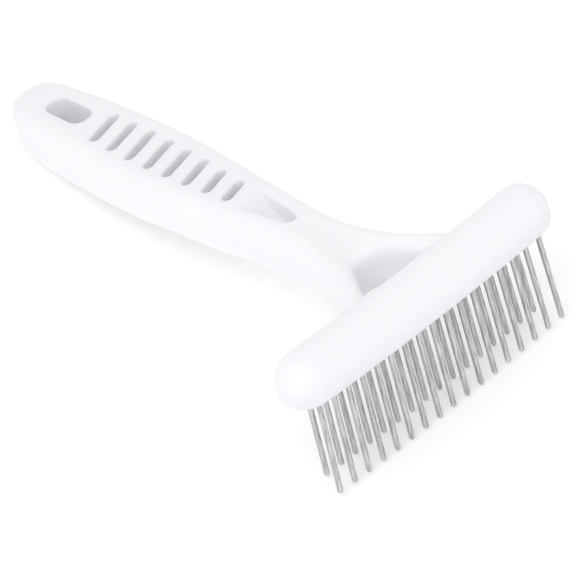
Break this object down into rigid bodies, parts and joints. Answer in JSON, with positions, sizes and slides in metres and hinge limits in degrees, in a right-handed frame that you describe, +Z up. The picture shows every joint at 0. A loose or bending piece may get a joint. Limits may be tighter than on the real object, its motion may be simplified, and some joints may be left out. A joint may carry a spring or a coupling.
{
  "type": "undercoat rake",
  "caption": "Pet grooming rake: a waisted hand grip that forks into a crosswise bar with two staggered rows of turning metal pins for combing out loose undercoat.",
  "frame": {"origin": "centre of the bottom of the bounding box, on the table the rake rests on with its back row of pins and the end of its handle", "axes": "+Z up from the table, +Y from the head towards the handle's end, X along the head; +X is the head's left end for someone who holds the handle and looks at the head from above"},
  "size_m": [0.1002, 0.1918, 0.0484],
  "materials": {
    "shell": "smooth moulded plastic, softly glossy",
    "plate": "smooth moulded plastic, softly glossy",
    "pins": "bright drawn wire"
  },
  "bodies": {
    "rake_body": {"handle": "shell", "pin_plate": "plate"},
    "pin_front_01": {"pin_front_01": "pins"},
    "pin_front_02": {"pin_front_02": "pins"},
    "pin_front_03": {"pin_front_03": "pins"},
    "pin_front_04": {"pin_front_04": "pins"},
    "pin_front_05": {"pin_front_05": "pins"},
    "pin_front_06": {"pin_front_06": "pins"},
    "pin_front_07": {"pin_front_07": "pins"},
    "pin_front_08": {"pin_front_08": "pins"},
    "pin_front_09": {"pin_front_09": "pins"},
    "pin_front_10": {"pin_front_10": "pins"},
    "pin_front_11": {"pin_front_11": "pins"},
    "pin_front_12": {"pin_front_12": "pins"},
    "pin_front_13": {"pin_front_13": "pins"},
    "pin_front_14": {"pin_front_14": "pins"},
    "pin_front_15": {"pin_front_15": "pins"},
    "pin_front_16": {"pin_front_16": "pins"},
    "pin_front_17": {"pin_front_17": "pins"},
    "pin_back_01": {"pin_back_01": "pins"},
    "pin_back_02": {"pin_back_02": "pins"},
    "pin_back_03": {"pin_back_03": "pins"},
    "pin_back_04": {"pin_back_04": "pins"},
    "pin_back_05": {"pin_back_05": "pins"},
    "pin_back_06": {"pin_back_06": "pins"},
    "pin_back_07": {"pin_back_07": "pins"},
    "pin_back_08": {"pin_back_08": "pins"},
    "pin_back_09": {"pin_back_09": "pins"},
    "pin_back_10": {"pin_back_10": "pins"},
    "pin_back_11": {"pin_back_11": "pins"},
    "pin_back_12": {"pin_back_12": "pins"},
    "pin_back_13": {"pin_back_13": "pins"},
    "pin_back_14": {"pin_back_14": "pins"},
    "pin_back_15": {"pin_back_15": "pins"},
    "pin_back_16": {"pin_back_16": "pins"}
  },
  "joints": [
    {"name": "spin_front_01", "type": "hinge", "parent": "rake_body", "child": "pin_front_01", "pos_m": [-0.04229, -0.09117, 0.03656], "axis": [0.0489, 0.1132, 0.9924], "continuous": true},
    {"name": "spin_front_02", "type": "hinge", "parent": "rake_body", "child": "pin_front_02", "pos_m": [-0.037, -0.0912, 0.03632], "axis": [0.0428, 0.1133, 0.9926], "continuous": true},
    {"name": "spin_front_03", "type": "hinge", "parent": "rake_body", "child": "pin_front_03", "pos_m": [-0.03172, -0.09123, 0.03611], "axis": [0.0367, 0.1133, 0.9929], "continuous": true},
    {"name": "spin_front_04", "type": "hinge", "parent": "rake_body", "child": "pin_front_04", "pos_m": [-0.02643, -0.09125, 0.03593], "axis": [0.0306, 0.1133, 0.9931], "continuous": true},
    {"name": "spin_front_05", "type": "hinge", "parent": "rake_body", "child": "pin_front_05", "pos_m": [-0.02115, -0.09126, 0.03579], "axis": [0.0244, 0.1133, 0.9933], "continuous": true},
    {"name": "spin_front_06", "type": "hinge", "parent": "rake_body", "child": "pin_front_06", "pos_m": [-0.01586, -0.09127, 0.03567], "axis": [0.0183, 0.1134, 0.9934], "continuous": true},
    {"name": "spin_front_07", "type": "hinge", "parent": "rake_body", "child": "pin_front_07", "pos_m": [-0.01057, -0.09128, 0.03559], "axis": [0.0122, 0.1134, 0.9935], "continuous": true},
    {"name": "spin_front_08", "type": "hinge", "parent": "rake_body", "child": "pin_front_08", "pos_m": [-0.00529, -0.09129, 0.03555], "axis": [0.0061, 0.1134, 0.9935], "continuous": true},
    {"name": "spin_front_09", "type": "hinge", "parent": "rake_body", "child": "pin_front_09", "pos_m": [0, -0.09129, 0.03553], "axis": [0, 0.1134, 0.9936], "continuous": true},
    {"name": "spin_front_10", "type": "hinge", "parent": "rake_body", "child": "pin_front_10", "pos_m": [0.00529, -0.09129, 0.03555], "axis": [-0.0061, 0.1134, 0.9935], "continuous": true},
    {"name": "spin_front_11", "type": "hinge", "parent": "rake_body", "child": "pin_front_11", "pos_m": [0.01057, -0.09128, 0.03559], "axis": [-0.0122, 0.1134, 0.9935], "continuous": true},
    {"name": "spin_front_12", "type": "hinge", "parent": "rake_body", "child": "pin_front_12", "pos_m": [0.01586, -0.09127, 0.03567], "axis": [-0.0183, 0.1134, 0.9934], "continuous": true},
    {"name": "spin_front_13", "type": "hinge", "parent": "rake_body", "child": "pin_front_13", "pos_m": [0.02115, -0.09126, 0.03579], "axis": [-0.0244, 0.1133, 0.9933], "continuous": true},
    {"name": "spin_front_14", "type": "hinge", "parent": "rake_body", "child": "pin_front_14", "pos_m": [0.02643, -0.09125, 0.03593], "axis": [-0.0306, 0.1133, 0.9931], "continuous": true},
    {"name": "spin_front_15", "type": "hinge", "parent": "rake_body", "child": "pin_front_15", "pos_m": [0.03172, -0.09123, 0.03611], "axis": [-0.0367, 0.1133, 0.9929], "continuous": true},
    {"name": "spin_front_16", "type": "hinge", "parent": "rake_body", "child": "pin_front_16", "pos_m": [0.037, -0.0912, 0.03632], "axis": [-0.0428, 0.1133, 0.9926], "continuous": true},
    {"name": "spin_front_17", "type": "hinge", "parent": "rake_body", "child": "pin_front_17", "pos_m": [0.04229, -0.09117, 0.03656], "axis": [-0.0489, 0.1132, 0.9924], "continuous": true},
    {"name": "spin_back_01", "type": "hinge", "parent": "rake_body", "child": "pin_back_01", "pos_m": [-0.03964, -0.08235, 0.03542], "axis": [0.0458, 0.1133, 0.9925], "continuous": true},
    {"name": "spin_back_02", "type": "hinge", "parent": "rake_body", "child": "pin_back_02", "pos_m": [-0.03436, -0.08237, 0.0352], "axis": [0.0397, 0.1133, 0.9928], "continuous": true},
    {"name": "spin_back_03", "type": "hinge", "parent": "rake_body", "child": "pin_back_03", "pos_m": [-0.02908, -0.08239, 0.03501], "axis": [0.0336, 0.1133, 0.993], "continuous": true},
    {"name": "spin_back_04", "type": "hinge", "parent": "rake_body", "child": "pin_back_04", "pos_m": [-0.02379, -0.08241, 0.03485], "axis": [0.0275, 0.1133, 0.9932], "continuous": true},
    {"name": "spin_back_05", "type": "hinge", "parent": "rake_body", "child": "pin_back_05", "pos_m": [-0.01851, -0.08243, 0.03472], "axis": [0.0214, 0.1133, 0.9933], "continuous": true},
    {"name": "spin_back_06", "type": "hinge", "parent": "rake_body", "child": "pin_back_06", "pos_m": [-0.01322, -0.08244, 0.03462], "axis": [0.0153, 0.1134, 0.9934], "continuous": true},
    {"name": "spin_back_07", "type": "hinge", "parent": "rake_body", "child": "pin_back_07", "pos_m": [-0.00793, -0.08245, 0.03456], "axis": [0.0092, 0.1134, 0.9935], "continuous": true},
    {"name": "spin_back_08", "type": "hinge", "parent": "rake_body", "child": "pin_back_08", "pos_m": [-0.00264, -0.08245, 0.03453], "axis": [0.0031, 0.1134, 0.9935], "continuous": true},
    {"name": "spin_back_09", "type": "hinge", "parent": "rake_body", "child": "pin_back_09", "pos_m": [0.00264, -0.08245, 0.03453], "axis": [-0.0031, 0.1134, 0.9935], "continuous": true},
    {"name": "spin_back_10", "type": "hinge", "parent": "rake_body", "child": "pin_back_10", "pos_m": [0.00793, -0.08245, 0.03456], "axis": [-0.0092, 0.1134, 0.9935], "continuous": true},
    {"name": "spin_back_11", "type": "hinge", "parent": "rake_body", "child": "pin_back_11", "pos_m": [0.01322, -0.08244, 0.03462], "axis": [-0.0153, 0.1134, 0.9934], "continuous": true},
    {"name": "spin_back_12", "type": "hinge", "parent": "rake_body", "child": "pin_back_12", "pos_m": [0.01851, -0.08243, 0.03472], "axis": [-0.0214, 0.1133, 0.9933], "continuous": true},
    {"name": "spin_back_13", "type": "hinge", "parent": "rake_body", "child": "pin_back_13", "pos_m": [0.02379, -0.08241, 0.03485], "axis": [-0.0275, 0.1133, 0.9932], "continuous": true},
    {"name": "spin_back_14", "type": "hinge", "parent": "rake_body", "child": "pin_back_14", "pos_m": [0.02908, -0.08239, 0.03501], "axis": [-0.0336, 0.1133, 0.993], "continuous": true},
    {"name": "spin_back_15", "type": "hinge", "parent": "rake_body", "child": "pin_back_15", "pos_m": [0.03436, -0.08237, 0.0352], "axis": [-0.0397, 0.1133, 0.9928], "continuous": true},
    {"name": "spin_back_16", "type": "hinge", "parent": "rake_body", "child": "pin_back_16", "pos_m": [0.03964, -0.08235, 0.03542], "axis": [-0.0458, 0.1133, 0.9925], "continuous": true}
  ]
}
